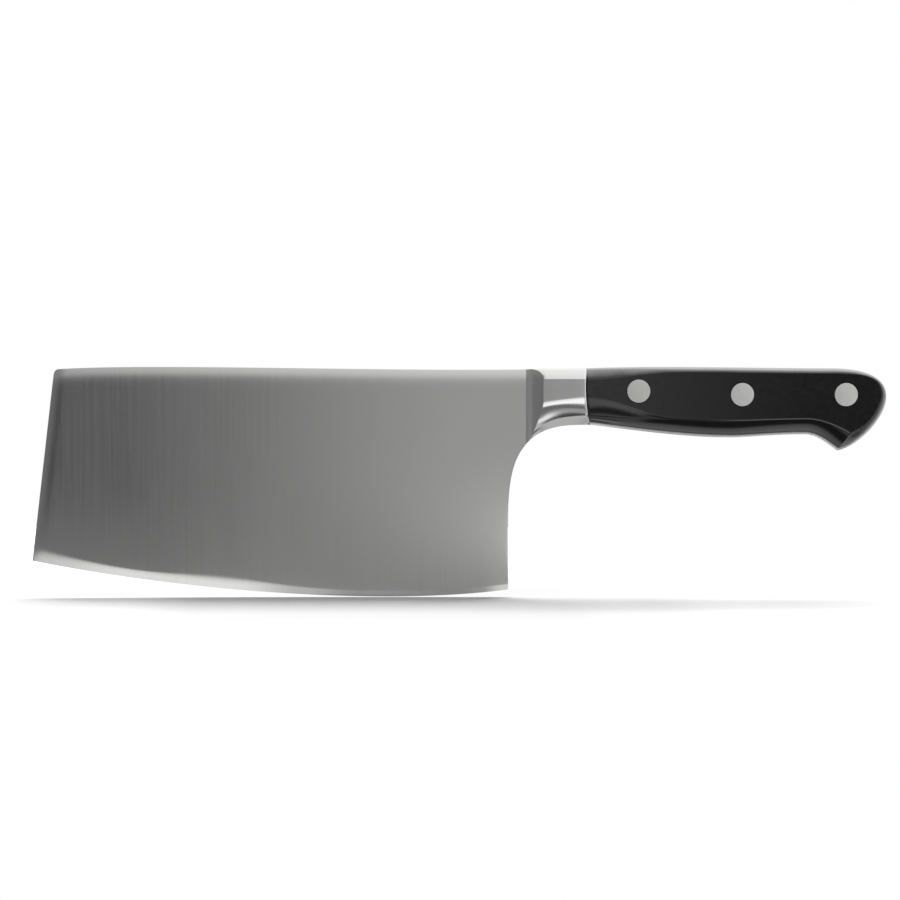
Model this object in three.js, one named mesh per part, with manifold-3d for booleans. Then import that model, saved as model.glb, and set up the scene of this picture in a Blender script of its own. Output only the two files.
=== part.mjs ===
// A full-tang kitchen cleaver, standing on its cutting edge with the spine up.
// Millimetres. X runs from the front of the blade to the butt of the handle, Y across the knife, Z up.
// While it is drawn, X is measured from the heel of the blade and Z from the foot of the edge.

import * as THREE from 'three';
import { mergeVertices } from 'three/addons/utils/BufferGeometryUtils.js';
import Module from 'manifold-3d';

const wasm = await Module();
wasm.setup();

// Blade: side view
const BLADE_LENGTH = 169;          // heel to the front corner of the edge
const SPINE_HEIGHT = 81;           // top of the bolster above the foot of the edge
const SPINE_STEP = 0.4;            // the spine meets the bolster this much lower
const SPINE_SAG = 1.1;             // pull of the spine's curve below the bolster top, near the bolster
const SPINE_SAG_PLACE = 0.29;      // where it pulls, as a share of the blade's length
const SPINE_CROWN = 1.9;           // pull of the spine's curve above the bolster top, near the front
const SPINE_CROWN_PLACE = 0.77;    // where it pulls, as a share of the blade's length
const FRONT_CORNER_RISE = 12.6;    // front corner of the edge above the foot of the edge
const FRONT_SETBACK = 8.1;         // the front leans back this much from edge to spine
const FRONT_CORNER_RADIUS = 1.4;   // round between front and spine
const HEEL_CORNER_RISE = 2.4;      // heel corner of the edge above the foot of the edge
const EDGE_FRONT_PULL = 59;        // reach of the edge's curve from the front corner
const EDGE_FRONT_SLOPE = 0.2;      // fall of the edge at the front corner
const EDGE_HEEL_PULL = 40;         // reach of the edge's curve from the heel
const EDGE_HEEL_SLOPE = 0.14;      // rise of the edge at the heel

// Blade: section
const BLADE_THICKNESS = 2.5;       // at the spine and through the whole tang
const FLAT_FOOT_THICKNESS = 1.1;   // where the flat grind would reach the foot of the edge
const EDGE_THICKNESS = 0.2;        // left at the cutting edge
const BEVEL_AT_FRONT = 3.6;        // height of the edge bevel at the front corner
const BEVEL_AT_HEEL = 1.2;         // height of the edge bevel at the heel

// Knuckle curve between heel and handle, a quarter of an oval with squared shoulders
const KNUCKLE_FOOT = 20.2;         // height where the heel starts to curve
const KNUCKLE_POWER_X = 2.8;       // squareness towards the handle
const KNUCKLE_POWER_Z = 3.6;       // squareness towards the heel

// Bolster
const BOLSTER_START = 6.3;         // foot of the hollow in front of the bolster, behind the heel
const BOLSTER_REAR = 27.8;         // joint between bolster and scales, behind the heel
const HOLLOW_RADIUS = 6.2;         // hollow between blade and bolster
const HOLLOW_LIP = 0.2;            // thickness of the bolster where the hollow runs out on the blade
const BOLSTER_FRONT_THICKNESS = 12.8;
const BOLSTER_TOP_ROUND = 3.9;     // height of the round along the top
const BOLSTER_SIDE_FOOT = 10;      // depth below the top where the side starts to turn under
const BOLSTER_ROUNDNESS = 1.6;     // 1 is a flat turn under the side, 2 a parabola
const BOLSTER_FRONT_CREASE = 4;    // thickness over the lower crease at the front
const BOLSTER_REAR_CREASE = 12;    // thickness over the lower crease at the joint
const BOLSTER_FACET = 3.8;         // height of the lower facet at the joint

// Handle: side view
const HANDLE_LENGTH = 106.2;       // joint to the rearmost point of the butt
const NECK_HEIGHT = 20;            // handle height at the joint
const BELLY_HEIGHT = 24.5;         // handle height at the belly
const BELLY_FROM_JOINT = 51;
const WAIST_HEIGHT = 23.4;         // handle height in front of the hook
const WAIST_FROM_BUTT = 29;
const HOOK_HEIGHT = 29.1;          // handle height at the tip of the hook
const HOOK_FROM_BUTT = 17.2;
const BUTT_DEPTH = 10;             // rearmost point of the butt below the top
const BUTT_TOP_FROM_BUTT = 19.5;   // where the top starts to fall to the butt
const TOP_CROWN = 1.1;             // pull of the handle top's curve above the bolster

// How far the handle's curves run straight on past their corners, as shares of each curve's own run
const REACH = {
  jointOut: 0.09,
  bellyIn: 0.4,
  bellyOut: 0.23,
  waistIn: 0.38,
  waistOut: 0.41,
  hookInX: 0.3,
  hookInZ: 0.42,
  hookOutX: 0.5,
  hookOutZ: 0.1,
  buttIn: 0.36,
  buttOut: 0.52,
  buttTopIn: 0.78,
  buttTopOut: 0.3,
  jointTopIn: 0.28,
};

// Handle: section
const HANDLE_FRONT_THICKNESS = 16;
const HANDLE_REAR_THICKNESS = 19;
const TANG_PROUD = 0.9;            // tang standing out along the underside
const TANG_PROUD_TOP = 0.3;        // tang standing out along top and butt
const FACET_AT_JOINT = 3;          // lower facet of the scales, measured in the side view
const FACET_AT_BELLY = 5.1;
const FACET_AT_WAIST = 4.6;
const FACET_AT_HOOK = 5.2;
const HOOK_CREASE_SHIFT = 3;       // the crease's corner lies this far behind the tip of the hook
const BUTT_ROUND = 1.6;
const TOP_ROUND = 1.4;
const TOP_ROUND_AT_JOINT = 3.9;
const FACET_ROUNDNESS = 0.3;       // 0 is a flat facet, 1 a full quarter round
const FULL_ROUND = 1;

// Rivets
const RIVET_HEAD = 8.2;            // diameter of the head
const RIVET_HEAD_DEPTH = 2.6;
const RIVET_TUBE = 5.6;            // outer diameter of the sleeve's stem
const RIVET_STEM = 4;              // diameter of the post's stem
const RIVET_FIT = 0.2;             // clearance round heads and stems
const RIVET_END_GAP = 0.4;         // free room at the end of a stem
const RIVET_SINK = 0.06;           // heads lie this far below the scales
const FIRST_RIVET_FROM_JOINT = 18;
const LAST_RIVET_FROM_BUTT = 15.3;
const FIRST_RIVET_DEPTH = 8;       // rivet centres below the top
const REAR_RIVET_DEPTH = 9.2;

// Fineness of the curved faces
const CURVE_STEPS = 14;
const SPINE_STEPS = 24;
const KNUCKLE_STEPS = 20;
const FACET_STEPS = 4;
const BOLSTER_STEPS = 12;
const HOLLOW_STEPS = 7;
const ROUND_SIDES = 32;

// Places that follow from the sizes above
const HALF_BLADE = BLADE_THICKNESS / 2;
const NECK_Z = SPINE_HEIGHT - NECK_HEIGHT;
const BUTT_X = BOLSTER_REAR + HANDLE_LENGTH;
const CUT_OVERRUN = 2;             // how far a cutter reaches past what it cuts
const WELD = 1e-4;                 // corners closer than this are one corner

const at = (x, z) => new THREE.Vector2(x, z);
const mix = THREE.MathUtils.lerp;

// Half the handle's thickness at a place along it
function handleSide(x) {
  return mix(HANDLE_FRONT_THICKNESS, HANDLE_REAR_THICKNESS, (x - BOLSTER_REAR) / HANDLE_LENGTH) / 2;
}

// Half the blade's thickness on the flat grind at a height
function bladeSide(z) {
  return mix(FLAT_FOOT_THICKNESS, BLADE_THICKNESS, z / SPINE_HEIGHT) / 2;
}

// Height of the knuckle curve at a place along the knife
function knuckleHeight(x) {
  const across = Math.max(0, 1 - x / BOLSTER_REAR) ** KNUCKLE_POWER_X;
  return KNUCKLE_FOOT + (NECK_Z - KNUCKLE_FOOT) * (1 - across) ** (1 / KNUCKLE_POWER_Z);
}

// Height of the top of the bolster, which steps down to the spine over the hollow
function bolsterTop(x) {
  const overHollow = Math.max(0, 1 - (x - BOLSTER_START) / HOLLOW_RADIUS);
  return SPINE_HEIGHT - SPINE_STEP * overHollow;
}

// The cutting edge, from the front corner to the heel
function edgeCurve() {
  const front = at(-BLADE_LENGTH, FRONT_CORNER_RISE);
  const heel = at(0, HEEL_CORNER_RISE);
  const leaveFront = at(front.x + EDGE_FRONT_PULL, front.y - EDGE_FRONT_PULL * EDGE_FRONT_SLOPE);
  const meetHeel = at(-EDGE_HEEL_PULL, heel.y - EDGE_HEEL_PULL * EDGE_HEEL_SLOPE);
  return new THREE.CubicBezierCurve(front, leaveFront, meetHeel, heel);
}

// The handle's outline in six curves, from the joint along the underside, round the butt and back on top.
// Each corner between two curves is given with how far the scales, and then their crease, lie inside it.
function handleCurves() {
  const joint = at(BOLSTER_REAR, NECK_Z);
  const belly = at(BOLSTER_REAR + BELLY_FROM_JOINT, SPINE_HEIGHT - BELLY_HEIGHT);
  const waist = at(BUTT_X - WAIST_FROM_BUTT, SPINE_HEIGHT - WAIST_HEIGHT);
  const hook = at(BUTT_X - HOOK_FROM_BUTT, SPINE_HEIGHT - HOOK_HEIGHT);
  const butt = at(BUTT_X, SPINE_HEIGHT - BUTT_DEPTH);
  const buttTop = at(BUTT_X - BUTT_TOP_FROM_BUTT, SPINE_HEIGHT);
  const jointTop = at(BOLSTER_REAR, SPINE_HEIGHT);

  const curve = (from, leave, meet, to) => new THREE.CubicBezierCurve(
    from, from.clone().add(leave), to.clone().sub(meet), to);
  const reach = (from, to, shareX, shareZ) => at((to.x - from.x) * shareX, (to.y - from.y) * shareZ);
  const level = (from, to, share) => reach(from, to, share, 0);
  const upright = (from, to, share) => reach(from, to, 0, share);

  const underside = curve(
    joint, level(joint, belly, REACH.jointOut), level(joint, belly, REACH.bellyIn), belly);
  const rear = curve(
    belly, level(belly, waist, REACH.bellyOut), level(belly, waist, REACH.waistIn), waist);
  const drop = curve(
    waist, level(waist, hook, REACH.waistOut), reach(waist, hook, REACH.hookInX, REACH.hookInZ), hook);
  const back = curve(
    hook, reach(hook, butt, REACH.hookOutX, REACH.hookOutZ), upright(hook, butt, REACH.buttIn), butt);
  const shoulder = curve(
    butt, upright(butt, buttTop, REACH.buttOut), level(butt, buttTop, REACH.buttTopIn), buttTop);
  const top = curve(
    buttTop, level(buttTop, jointTop, REACH.buttTopOut),
    level(buttTop, jointTop, REACH.jointTopIn), jointTop);
  top.v2.y += TOP_CROWN;

  const corner = (proud, facet, round) => ({ proud, facet, round });
  const corners = [
    corner(at(0, TANG_PROUD), at(0, FACET_AT_JOINT), FACET_ROUNDNESS),
    corner(at(0, TANG_PROUD), at(0, FACET_AT_BELLY), FACET_ROUNDNESS),
    corner(at(0, TANG_PROUD), at(0, FACET_AT_WAIST), FACET_ROUNDNESS),
    corner(at(TANG_PROUD_TOP, TANG_PROUD), at(HOOK_CREASE_SHIFT, FACET_AT_HOOK), FACET_ROUNDNESS),
    corner(at(-TANG_PROUD_TOP, 0), at(-BUTT_ROUND, 0), FULL_ROUND),
    corner(at(0, -TANG_PROUD_TOP), at(0, -TOP_ROUND), FULL_ROUND),
    corner(at(0, -TANG_PROUD_TOP), at(0, -TOP_ROUND_AT_JOINT), FULL_ROUND),
  ];
  return { curves: [underside, rear, drop, back, shoulder, top], corners };
}

// A copy of a curve with its two ends pushed sideways
function pushed(curve, startPush, endPush) {
  return new THREE.CubicBezierCurve(
    curve.v0.clone().add(startPush), curve.v1.clone().add(startPush),
    curve.v2.clone().add(endPush), curve.v3.clone().add(endPush));
}

// A closed triangle mesh with shared corners, its faces pointing out
function closedMesh(geometry) {
  const bare = new THREE.BufferGeometry();
  bare.setAttribute('position', geometry.getAttribute('position'));
  bare.setIndex(geometry.getIndex());
  const merged = mergeVertices(bare, WELD);
  const corner = (i) => new THREE.Vector3().fromBufferAttribute(merged.getAttribute('position'), i);
  const found = merged.getIndex().array;
  const kept = [];
  let volume = 0;
  for (let i = 0; i < found.length; i += 3) {
    const [a, b, c] = [found[i], found[i + 1], found[i + 2]];
    if (a === b || b === c || c === a) continue;
    kept.push([a, b, c]);
    volume += corner(a).dot(corner(b).cross(corner(c)));
  }
  merged.setIndex(kept.flatMap(([a, b, c]) => (volume > 0 ? [a, b, c] : [a, c, b])));
  return merged;
}

function toSolid(geometry) {
  const mesh = closedMesh(geometry);
  return new wasm.Manifold(new wasm.Mesh({
    numProp: 3,
    vertProperties: new Float32Array(mesh.getAttribute('position').array),
    triVerts: new Uint32Array(mesh.getIndex().array),
  }));
}

function fromSolid(solid) {
  const mesh = solid.getMesh();
  const geometry = new THREE.BufferGeometry();
  geometry.setAttribute('position', new THREE.BufferAttribute(mesh.vertProperties, 3));
  geometry.setIndex(new THREE.BufferAttribute(mesh.triVerts, 1));
  return geometry;
}

function cut(geometry, cutters) {
  return fromSolid(cutters.reduce((solid, cutter) => solid.subtract(toSolid(cutter)), toSolid(geometry)));
}

// Triangles of a bulging flat polygon, given by its corner numbers
function fanTriangles(points, [first, ...others]) {
  return others.slice(1).flatMap((number, i) => [first, others[i], number]);
}

// Triangles of any flat polygon, given by its corner numbers, keeping its direction
function outlineTriangles(points, numbers) {
  const size = new THREE.Box3().setFromPoints(numbers.map((n) => points[n])).getSize(new THREE.Vector3());
  const axes = ['x', 'y', 'z'].sort((a, b) => size[b] - size[a]).slice(0, 2);
  const flat = numbers.map((n) => at(points[n][axes[0]], points[n][axes[1]]));
  const direction = Math.sign(THREE.ShapeUtils.area(flat));
  return THREE.ShapeUtils.triangulateShape(flat, []).flatMap((triangle) => {
    const turned = Math.sign(THREE.ShapeUtils.area(triangle.map((i) => flat[i]))) !== direction;
    const order = turned ? [...triangle].reverse() : triangle;
    return order.map((i) => numbers[i]);
  });
}

// A solid skinned over rows of points, with the rows closed to rings.
// Flat faces close its first and its last row.
function skinned(rows, closing) {
  const last = rows.length - 1;
  const width = rows[0].length;
  const number = (row, i) => row * width + (i % width);
  const points = rows.flat();
  const along = [...Array(width).keys()];
  const index = [];
  for (let row = 0; row < last; row += 1) {
    for (const i of along) {
      index.push(number(row, i), number(row, i + 1), number(row + 1, i + 1));
      index.push(number(row, i), number(row + 1, i + 1), number(row + 1, i));
    }
  }
  index.push(...closing(points, along.map((i) => number(0, i)).reverse()));
  index.push(...closing(points, along.map((i) => number(last, i))));
  const geometry = new THREE.BufferGeometry().setFromPoints(points);
  geometry.setIndex(index);
  return closedMesh(geometry);
}

// The same piece on the other side of the knife
function mirrored(geometry) {
  return closedMesh(geometry.clone().scale(1, -1, 1));
}

// A round bar along Y
function bar(diameter, x, z, fromY, toY) {
  const geometry = new THREE.CylinderGeometry(diameter / 2, diameter / 2, toY - fromY, ROUND_SIDES);
  return geometry.translate(x, (fromY + toY) / 2, z);
}

function rivetPlaces() {
  const first = BOLSTER_REAR + FIRST_RIVET_FROM_JOINT;
  const last = BUTT_X - LAST_RIVET_FROM_BUTT;
  return [
    { name: 'front', x: first, z: SPINE_HEIGHT - FIRST_RIVET_DEPTH },
    { name: 'middle', x: (first + last) / 2, z: SPINE_HEIGHT - REAR_RIVET_DEPTH },
    { name: 'rear', x: last, z: SPINE_HEIGHT - REAR_RIVET_DEPTH },
  ];
}

// Side view of the whole steel blank, blade and tang
function blankOutline() {
  const frontTop = at(-BLADE_LENGTH + FRONT_SETBACK, SPINE_HEIGHT - SPINE_STEP);
  const frontFoot = at(-BLADE_LENGTH, FRONT_CORNER_RISE);
  const spineFoot = at(BOLSTER_START, bolsterTop(BOLSTER_START));
  const frontUp = frontTop.clone().sub(frontFoot).normalize();
  const cornerOnFront = frontTop.clone().addScaledVector(frontUp, -FRONT_CORNER_RADIUS);
  const cornerOnSpine = at(frontTop.x + FRONT_CORNER_RADIUS, frontTop.y);
  const spine = new THREE.CubicBezierCurve(
    spineFoot, at(-BLADE_LENGTH * SPINE_SAG_PLACE, SPINE_HEIGHT - SPINE_SAG),
    at(-BLADE_LENGTH * SPINE_CROWN_PLACE, SPINE_HEIGHT + SPINE_CROWN), cornerOnSpine);
  const corner = new THREE.QuadraticBezierCurve(cornerOnSpine, frontTop, cornerOnFront);

  const knuckle = [...Array(KNUCKLE_STEPS).keys()].map((i) => {
    const turn = Math.cos((i / KNUCKLE_STEPS) * (Math.PI / 2)) ** (2 / KNUCKLE_POWER_X);
    const x = BOLSTER_REAR * (1 - turn);
    return at(x, knuckleHeight(x));
  });
  const handle = handleCurves().curves.flatMap((curve) => curve.getPoints(CURVE_STEPS).slice(0, -1));
  return [
    ...edgeCurve().getPoints(SPINE_STEPS),
    ...knuckle,
    ...handle,
    at(BOLSTER_REAR, SPINE_HEIGHT),
    at(BOLSTER_START + HOLLOW_RADIUS, SPINE_HEIGHT),
    ...spine.getPoints(SPINE_STEPS),
    ...corner.getPoints(CURVE_STEPS).slice(1),
  ];
}

// Blade and tang in one blank: ground flat from spine to edge, bevelled at the edge, drilled for the rivets
function bladeWithTang() {
  const blank = new THREE.ExtrudeGeometry(new THREE.Shape(blankOutline()), {
    depth: BLADE_THICKNESS, bevelEnabled: false, curveSegments: 1,
  });
  const sideView = new THREE.Matrix4().makeBasis(
    new THREE.Vector3(1, 0, 0), new THREE.Vector3(0, 0, 1), new THREE.Vector3(0, -1, 0));
  blank.applyMatrix4(sideView).translate(0, HALF_BLADE, 0);

  const outside = HALF_BLADE + CUT_OVERRUN;
  const grindRow = (x) => [
    new THREE.Vector3(x, outside, -CUT_OVERRUN),
    new THREE.Vector3(x, bladeSide(-CUT_OVERRUN), -CUT_OVERRUN),
    new THREE.Vector3(x, bladeSide(SPINE_HEIGHT + SPINE_CROWN), SPINE_HEIGHT + SPINE_CROWN),
    new THREE.Vector3(x, outside, SPINE_HEIGHT + SPINE_CROWN),
  ];
  const grind = skinned([grindRow(-BLADE_LENGTH - CUT_OVERRUN), grindRow(BOLSTER_START)], fanTriangles);

  const edge = edgeCurve();
  const overrun = CUT_OVERRUN / BLADE_LENGTH;
  const bevelRows = [...Array(SPINE_STEPS + 1).keys()].map((i) => {
    const share = mix(-overrun, 1 + overrun, i / SPINE_STEPS);
    const foot = edge.getPoint(share);
    const shoulder = foot.y + mix(BEVEL_AT_FRONT, BEVEL_AT_HEEL, share);
    return [
      new THREE.Vector3(foot.x, outside, foot.y - CUT_OVERRUN),
      new THREE.Vector3(foot.x, EDGE_THICKNESS / 2, foot.y - CUT_OVERRUN),
      new THREE.Vector3(foot.x, EDGE_THICKNESS / 2, foot.y),
      new THREE.Vector3(foot.x, bladeSide(shoulder), shoulder),
      new THREE.Vector3(foot.x, outside, shoulder),
    ];
  });
  const bevel = skinned(bevelRows, fanTriangles);
  const holes = rivetPlaces().map(({ x, z }) => bar(RIVET_TUBE + 2 * RIVET_FIT, x, z, -outside, outside));
  return cut(blank, [grind, mirrored(grind), bevel, mirrored(bevel), ...holes]);
}

// Half section of the bolster: lower facet, crease, side turning under, side, round top.
// The hollow in front cuts it back towards the blade.
function bolsterRow(x) {
  const share = (x - BOLSTER_START) / (BOLSTER_REAR - BOLSTER_START);
  const side = mix(BOLSTER_FRONT_THICKNESS, HANDLE_FRONT_THICKNESS, share) / 2;
  const crease = mix(BOLSTER_FRONT_CREASE, BOLSTER_REAR_CREASE, share) / 2;
  const foot = knuckleHeight(x);
  const creaseZ = foot + BOLSTER_FACET * Math.sin(share * Math.PI / 2);
  const top = bolsterTop(x);
  const sideFoot = SPINE_HEIGHT - BOLSTER_SIDE_FOOT;
  const reach = Math.min(x - BOLSTER_START, HOLLOW_RADIUS);
  const hollowed = reach < HOLLOW_RADIUS
    ? HALF_BLADE + HOLLOW_LIP + HOLLOW_RADIUS - Math.sqrt(HOLLOW_RADIUS ** 2 - reach ** 2)
    : Infinity;

  const section = [[HALF_BLADE, foot]];
  for (let i = 0; i < FACET_STEPS; i += 1) {
    const turn = i / FACET_STEPS;
    section.push([mix(crease, side, 1 - (1 - turn) ** BOLSTER_ROUNDNESS), mix(creaseZ, sideFoot, turn)]);
  }
  section.push([side, sideFoot]);
  for (let i = 0; i <= FACET_STEPS; i += 1) {
    const angle = (i / FACET_STEPS) * (Math.PI / 2);
    const y = HALF_BLADE + (side - HALF_BLADE) * Math.cos(angle);
    section.push([y, top - BOLSTER_TOP_ROUND * (1 - Math.sin(angle))]);
  }
  return section.map(([y, z]) => new THREE.Vector3(x, Math.min(y, hollowed), z));
}

function bolsterRight() {
  const inHollow = [...Array(HOLLOW_STEPS).keys()].map((i) => {
    const angle = (i / HOLLOW_STEPS) * (Math.PI / 2);
    return BOLSTER_START + HOLLOW_RADIUS * Math.sin(angle);
  });
  const lip = BOLSTER_START + HOLLOW_RADIUS;
  const behind = [...Array(BOLSTER_STEPS + 1).keys()].map((i) => mix(lip, BOLSTER_REAR, i / BOLSTER_STEPS));
  return skinned([...inHollow, ...behind].map(bolsterRow), fanTriangles);
}

// One scale: rows of points from its rim on the tang, up the facets to the crease round its flat side
function scaleBlank() {
  const { curves, corners } = handleCurves();
  const rows = [...Array(FACET_STEPS + 1).keys()].map((step) => {
    const share = step / FACET_STEPS;
    const angle = share * (Math.PI / 2);
    return curves.flatMap((curve, i) => {
      const [start, end] = [corners[i], corners[i + 1]];
      const rim = pushed(curve, start.proud, end.proud);
      const crease = pushed(rim, start.facet, end.facet);
      const steps = i + 1 < curves.length ? CURVE_STEPS : CURVE_STEPS + 1;
      return [...Array(steps).keys()].map((k) => {
        const t = k / CURVE_STEPS;
        const round = mix(start.round, end.round, t);
        const inward = mix(share, 1 - Math.cos(angle), round);
        const outward = mix(share, Math.sin(angle), round);
        const place = rim.getPoint(t).lerp(crease.getPoint(t), inward);
        return new THREE.Vector3(place.x, mix(HALF_BLADE, handleSide(place.x), outward), place.y);
      });
    });
  });
  return skinned(rows, outlineTriangles);
}

// Depth of the seat under a rivet's head, measured from the middle of the knife
function rivetSeat(x) {
  return handleSide(x) - RIVET_SINK - RIVET_HEAD_DEPTH;
}

function scaleRight() {
  const cutters = rivetPlaces().flatMap(({ x, z }) => [
    bar(RIVET_TUBE + 2 * RIVET_FIT, x, z, 0, handleSide(x)),
    bar(RIVET_HEAD + 2 * RIVET_FIT, x, z, rivetSeat(x), handleSide(x) + CUT_OVERRUN),
  ]);
  return cut(scaleBlank(), cutters);
}

// A turned piece on the rivet's axis from a profile of radius and distance from the middle of the knife
function turned(profile, x, z) {
  const points = profile.map(([radius, y]) => at(radius, y));
  return closedMesh(new THREE.LatheGeometry(points, ROUND_SIDES)).translate(x, 0, z);
}

// Rivet half with the solid stem, its head on the left side
function rivetPost({ x, z }) {
  const seat = rivetSeat(x);
  const head = seat + RIVET_HEAD_DEPTH;
  const stemEnd = seat - 2 * RIVET_END_GAP;
  return turned([
    [0, -head], [RIVET_HEAD / 2, -head], [RIVET_HEAD / 2, -seat],
    [RIVET_STEM / 2, -seat], [RIVET_STEM / 2, stemEnd], [0, stemEnd],
  ], x, z);
}

// Rivet half with the tubular stem, its head on the right side
function rivetSleeve({ x, z }) {
  const seat = rivetSeat(x);
  const head = seat + RIVET_HEAD_DEPTH;
  const tubeEnd = -seat + RIVET_END_GAP;
  const bore = RIVET_STEM / 2 + RIVET_FIT;
  const boreFoot = seat - RIVET_END_GAP;
  return turned([
    [0, boreFoot], [bore, boreFoot], [bore, tubeEnd], [RIVET_TUBE / 2, tubeEnd],
    [RIVET_TUBE / 2, seat], [RIVET_HEAD / 2, seat], [RIVET_HEAD / 2, head], [0, head],
  ], x, z);
}

// Finishes
const satinSteel = { color: 0x8e9092, roughness: 0.32, metalness: 1 };
const polishedSteel = { color: 0xb9babc, roughness: 0.12, metalness: 1 };
const rivetSteel = { color: 0xb0b0ae, roughness: 0.3, metalness: 1 };
const blackPlastic = { color: 0x17171a, roughness: 0.28, metalness: 0 };

const knife = new THREE.Group();

function addPiece(name, geometry, finish) {
  const faceted = geometry.toNonIndexed();
  faceted.computeVertexNormals();
  const mesh = new THREE.Mesh(faceted, new THREE.MeshStandardMaterial(finish));
  mesh.name = name;
  knife.add(mesh);
}

const bolster = bolsterRight();
const scale = scaleRight();
addPiece('blade_with_tang', bladeWithTang(), satinSteel);
addPiece('bolster_left', mirrored(bolster), polishedSteel);
addPiece('bolster_right', bolster, polishedSteel);
addPiece('scale_left', mirrored(scale), blackPlastic);
addPiece('scale_right', scale, blackPlastic);
for (const place of rivetPlaces()) {
  addPiece(`rivet_${place.name}_post`, rivetPost(place), rivetSteel);
  addPiece(`rivet_${place.name}_sleeve`, rivetSleeve(place), rivetSteel);
}

// The origin lies under the middle of the knife, at the foot of the edge
const box = new THREE.Box3().setFromObject(knife);
const middle = box.getCenter(new THREE.Vector3());
knife.position.set(-middle.x, -middle.y, -box.min.z);

export default knife;
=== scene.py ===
import math

import bmesh
import bpy
import numpy as np
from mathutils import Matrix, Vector

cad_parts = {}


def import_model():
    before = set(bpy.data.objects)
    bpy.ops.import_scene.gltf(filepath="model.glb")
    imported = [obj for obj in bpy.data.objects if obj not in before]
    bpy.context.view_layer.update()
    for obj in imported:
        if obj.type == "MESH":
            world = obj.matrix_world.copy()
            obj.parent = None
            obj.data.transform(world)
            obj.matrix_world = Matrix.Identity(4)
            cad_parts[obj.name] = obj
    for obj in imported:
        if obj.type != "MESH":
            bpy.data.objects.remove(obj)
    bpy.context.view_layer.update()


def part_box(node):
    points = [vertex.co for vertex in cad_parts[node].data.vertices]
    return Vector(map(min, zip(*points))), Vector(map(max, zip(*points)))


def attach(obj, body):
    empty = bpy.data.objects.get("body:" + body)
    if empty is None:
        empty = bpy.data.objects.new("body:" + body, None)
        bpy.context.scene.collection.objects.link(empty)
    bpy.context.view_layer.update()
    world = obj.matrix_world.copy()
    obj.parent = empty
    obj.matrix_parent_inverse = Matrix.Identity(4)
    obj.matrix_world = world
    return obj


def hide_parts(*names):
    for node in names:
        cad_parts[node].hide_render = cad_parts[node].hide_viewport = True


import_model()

MM = 0.001

# Blade sizes, in millimetres
BLADE_LENGTH = 169
SPINE_HEIGHT = 81
SPINE_STEP = 0.4
SPINE_SAG = 1.1
SPINE_SAG_PLACE = 0.29
SPINE_CROWN = 1.9
SPINE_CROWN_PLACE = 0.77
FRONT_CORNER_RISE = 12.6
FRONT_SETBACK = 8.1
FRONT_CORNER_RADIUS = 1.4
HEEL_CORNER_RISE = 2.4
EDGE_FRONT_PULL = 59
EDGE_FRONT_SLOPE = 0.2
EDGE_HEEL_PULL = 40
EDGE_HEEL_SLOPE = 0.14
BLADE_THICKNESS = 2.5
FLAT_FOOT_THICKNESS = 1.1
EDGE_THICKNESS = 0.1
KNUCKLE_FOOT = 20.2
KNUCKLE_POWER_X = 2.8
KNUCKLE_POWER_Z = 3.6

# How far the polished rims of the blade roll off, and the slope they reach
SPINE_ROLL = 7.5
SPINE_ROLL_SLOPE = 0.14
FRONT_ROLL = 4.5
FRONT_ROLL_SLOPE = 0.14
HEEL_MARGIN = 3.0
RIM_ROUND = 0.18
TANG_RIM = 1.1
TANG_RIM_FALL = 0.12

# Height of the stropped band above the cutting edge: at the front, at a hump behind it, and to the heel
BAND_FRONT = 6.5
BAND_FRONT_REACH = 22
BAND_HUMP = 2.6
BAND_HUMP_FROM_FRONT = 68
BAND_HUMP_REACH = 22
BAND_HEEL = 2.2
BAND_THINNING = 1.7

# The tang under the bolster: how far in it starts, and where it comes back to the full outline
TANG_INSIDE = 3
TANG_RETURN = 25

# Bolster sizes
BOLSTER_START = 6.3
BOLSTER_REAR = 27.8
HOLLOW_LENGTH = 5.9
HOLLOW_RISE = 6
HOLLOW_FOOT = 0.2
BOLSTER_FRONT_THICKNESS = 14.2
BOLSTER_TOP_ROUND = 3.9
BOLSTER_SIDE_FOOT_FRONT = 12.3
BOLSTER_SIDE_FOOT = 9.2
BOLSTER_ROUNDNESS_FRONT = 1.6
BOLSTER_ROUNDNESS = 2
BOLSTER_FRONT_CREASE = 4.8
BOLSTER_REAR_CREASE = 11.4
BOLSTER_FACET = 3.2
BOLSTER_FACET_GROWTH = 0.45
SEAM_COVER = 0.3
HOLLOW_SINK = 0.005
LIP_ROUND = 0.18
REAR_ROUND = 0.6
JOINT_BOW = 0.42
JOINT_BOW_DEPTH = 6.5
JOINT_BOW_RADIUS = 56
JOINT_BOW_REACH = 9

# Handle sizes
HANDLE_LENGTH = 106.2
NECK_HEIGHT = 20
BELLY_HEIGHT = 24.5
BELLY_FROM_JOINT = 51
WAIST_HEIGHT = 23.4
WAIST_FROM_BUTT = 29
HOOK_HEIGHT = 29.1
HOOK_FROM_BUTT = 17.2
BUTT_DEPTH = 10
BUTT_TOP_FROM_BUTT = 19.5
TOP_CROWN = 1.1
HANDLE_FRONT_THICKNESS = 16
HANDLE_REAR_THICKNESS = 19
TANG_PROUD = 0.9
TANG_PROUD_TOP = 0.3
FACET_AT_JOINT = 2.3
FACET_AT_BELLY = 5.1
FACET_AT_WAIST = 4.6
FACET_AT_HOOK = 5.2
HOOK_CREASE_SHIFT = 3
BUTT_ROUND = 2.6
BUTT_TURN = 0.35
BUTT_CREASE_SHIFT = 1.6
BUTT_CREASE_RISE = 0.9
TOP_ROUND = 1.4
TOP_ROUND_AT_JOINT = 3.9
TOP_ROUND_REACH = 34
TURN_REACH = 32
FACET_ROUNDNESS = 0.3
FRONT_ROUND = 0.35
CREASE_SOFT = 0.7
CREASE_DROP = 0.16

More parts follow.
